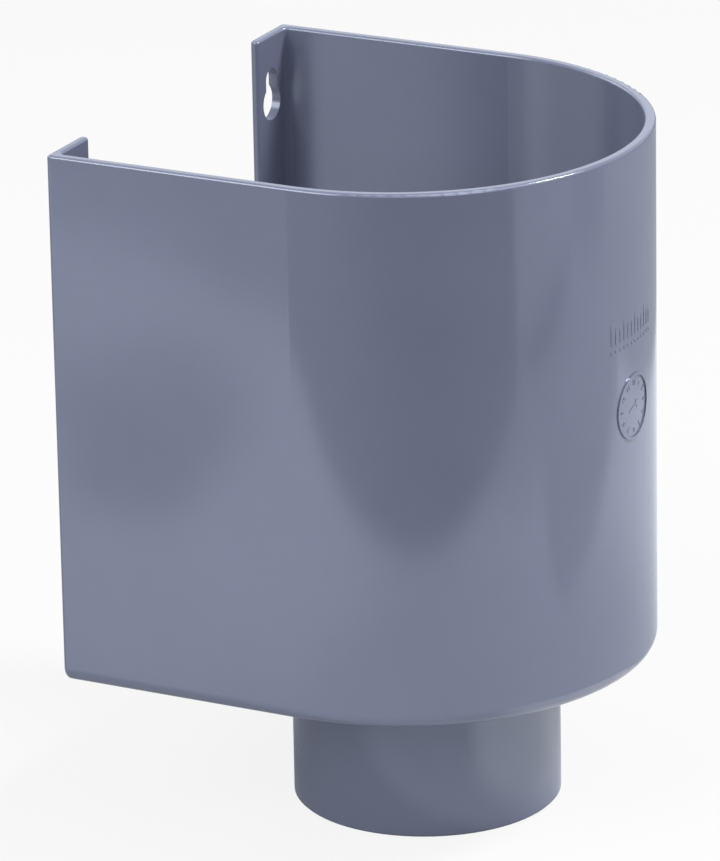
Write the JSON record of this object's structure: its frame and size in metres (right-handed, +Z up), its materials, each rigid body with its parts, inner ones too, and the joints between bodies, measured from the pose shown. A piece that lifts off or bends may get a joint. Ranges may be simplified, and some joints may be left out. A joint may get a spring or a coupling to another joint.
{
  "type": "rainwater hopper",
  "caption": "Moulded plastic rainwater hopper with a half-round front, open top and back, inward wall flanges with keyholes, and a round outlet spigot below.",
  "frame": {"origin": "on the outlet spigot's axis, at the level of the floor's underside, where a pipe's socket stops", "axes": "+Z up, +Y towards the wall that the flanges lie on, the round front faces -Y"},
  "size_m": [0.147, 0.1514, 0.2085],
  "materials": {
    "grey_pvc": "smooth glossy moulded PVC, blue-grey"
  },
  "bodies": {
    "root": {"hopper_body": "grey_pvc"}
  },
  "joints": []
}
